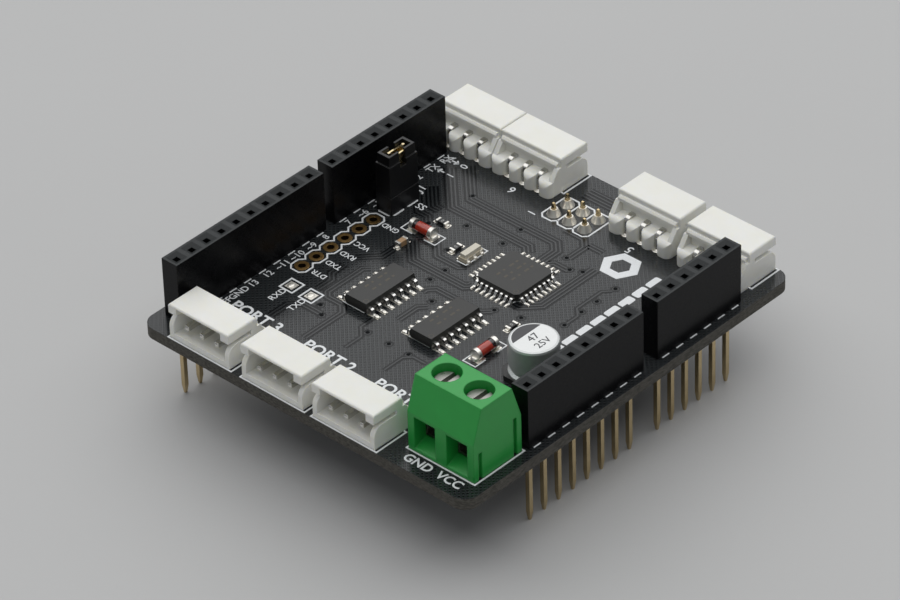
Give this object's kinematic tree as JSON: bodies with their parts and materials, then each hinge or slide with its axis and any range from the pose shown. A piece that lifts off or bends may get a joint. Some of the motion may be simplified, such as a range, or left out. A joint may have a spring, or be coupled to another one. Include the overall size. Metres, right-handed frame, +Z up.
{
  "type": "servo driver board",
  "caption": "Stackable servo driver board with through-going pin headers, side-entry servo bus ports, a screw terminal for supply wires, a pull-off jumper and surface-mount chips.",
  "frame": {"origin": "below the middle of the board's outline, level with the tips of the header pins", "axes": "+X along the header rows, from the end with the screw terminal to the end with the programming socket; +Y from the power and analog headers to the digital headers; +Z up, out of the component side"},
  "size_m": [0.0584, 0.0534, 0.0218],
  "materials": {
    "solder_mask_board": "black solder mask over fibreglass, semi-gloss",
    "black_plastic": "moulded black thermoplastic, fine texture",
    "ivory_nylon": "moulded ivory-white nylon",
    "green_plastic": "moulded green polyamide, satin",
    "gold_plate": "gold flash over brass",
    "tinned_metal": "bright tin plating",
    "nickel_steel": "nickel-plated steel",
    "nickel_brass": "nickel-plated brass",
    "spring_brass": "rolled spring brass",
    "moulding_compound": "dark grey epoxy moulding compound",
    "drawn_aluminium": "drawn and rolled aluminium, satin",
    "seal_rubber": "dense black rubber",
    "wound_foil": "wound foil and paper",
    "red_glass": "orange-red tinted glass",
    "ceramic_beige": "fired beige ceramic",
    "ceramic_black": "glazed black resistor film",
    "ceramic_tan": "fired tan ceramic",
    "solder": "bright tin solder"
  },
  "bodies": {
    "board_assembly": {"analog_header_contacts": "gold_plate", "analog_header_housing": "black_plastic", "buffer_chip_1_body": "moulding_compound", "buffer_chip_1_leads": "tinned_metal", "buffer_chip_2_body": "moulding_compound", "buffer_chip_2_leads": "tinned_metal", "capacitor_base": "black_plastic", "capacitor_can": "drawn_aluminium", "capacitor_leads": "tinned_metal", "capacitor_seal": "seal_rubber", "capacitor_winding": "wound_foil", "chip_capacitor_body": "ceramic_tan", "chip_end_caps": "tinned_metal", "chip_resistor_bodies": "ceramic_black", "circuit_board": "solder_mask_board", "digital_header_long_contacts": "gold_plate", "digital_header_long_housing": "black_plastic", "digital_header_short_contacts": "gold_plate", "digital_header_short_housing": "black_plastic", "diode_1_caps": "tinned_metal", "diode_1_glass": "red_glass", "diode_2_caps": "tinned_metal", "diode_2_glass": "red_glass", "jumper_base": "black_plastic", "jumper_pins": "gold_plate", "microcontroller_body": "moulding_compound", "microcontroller_leads": "tinned_metal", "power_header_contacts": "gold_plate", "power_header_housing": "black_plastic", "programming_socket_contacts": "gold_plate", "programming_socket_housing": "black_plastic", "resonator_base": "ceramic_beige", "resonator_lid": "ceramic_beige", "resonator_terminals": "tinned_metal", "serial_port_eyelets": "gold_plate", "serial_solder_pads": "solder", "servo_port_1_housing": "ivory_nylon", "servo_port_1_pins": "tinned_metal", "servo_port_2_housing": "ivory_nylon", "servo_port_2_pins": "tinned_metal", "servo_port_3_housing": "ivory_nylon", "servo_port_3_pins": "tinned_metal", "servo_port_4_housing": "ivory_nylon", "servo_port_4_pins": "tinned_metal", "servo_port_5_housing": "ivory_nylon", "servo_port_5_pins": "tinned_metal", "servo_port_6_housing": "ivory_nylon", "servo_port_6_pins": "tinned_metal", "servo_port_7_housing": "ivory_nylon", "servo_port_7_pins": "tinned_metal", "solder_joints": "solder", "terminal_base_plates": "green_plastic", "terminal_housing": "green_plastic", "terminal_legs": "tinned_metal"},
    "jumper": {"jumper_cap": "black_plastic", "jumper_spring": "spring_brass"},
    "screw_1": {"clamp_screw_1": "nickel_steel"},
    "screw_2": {"clamp_screw_2": "nickel_steel"},
    "clamp_1": {"wire_clamp_1": "nickel_brass"},
    "clamp_2": {"wire_clamp_2": "nickel_brass"}
  },
  "joints": [
    {"name": "jumper_pull", "type": "slide", "parent": "board_assembly", "child": "jumper", "axis": [0, 0, 1], "range_m": [0, 0.0065]},
    {"name": "screw_1_turn", "type": "hinge", "parent": "board_assembly", "child": "screw_1", "pos_m": [-0.0218, -0.02227, 0.0191], "axis": [0, 0, -1], "range_deg": [0, 1260]},
    {"name": "clamp_1_lift", "type": "slide", "parent": "board_assembly", "child": "clamp_1", "axis": [0, 0, 1], "range_m": [0, 0.00175]},
    {"name": "screw_2_turn", "type": "hinge", "parent": "board_assembly", "child": "screw_2", "pos_m": [-0.0218, -0.01719, 0.0191], "axis": [0, 0, -1], "range_deg": [0, 1260]},
    {"name": "clamp_2_lift", "type": "slide", "parent": "board_assembly", "child": "clamp_2", "axis": [0, 0, 1], "range_m": [0, 0.00175]}
  ],
  "couplings": [
    {"joint": "screw_1_turn", "follows": "clamp_1_lift", "rad_per_m": 12566},
    {"joint": "screw_2_turn", "follows": "clamp_2_lift", "rad_per_m": 12566}
  ]
}
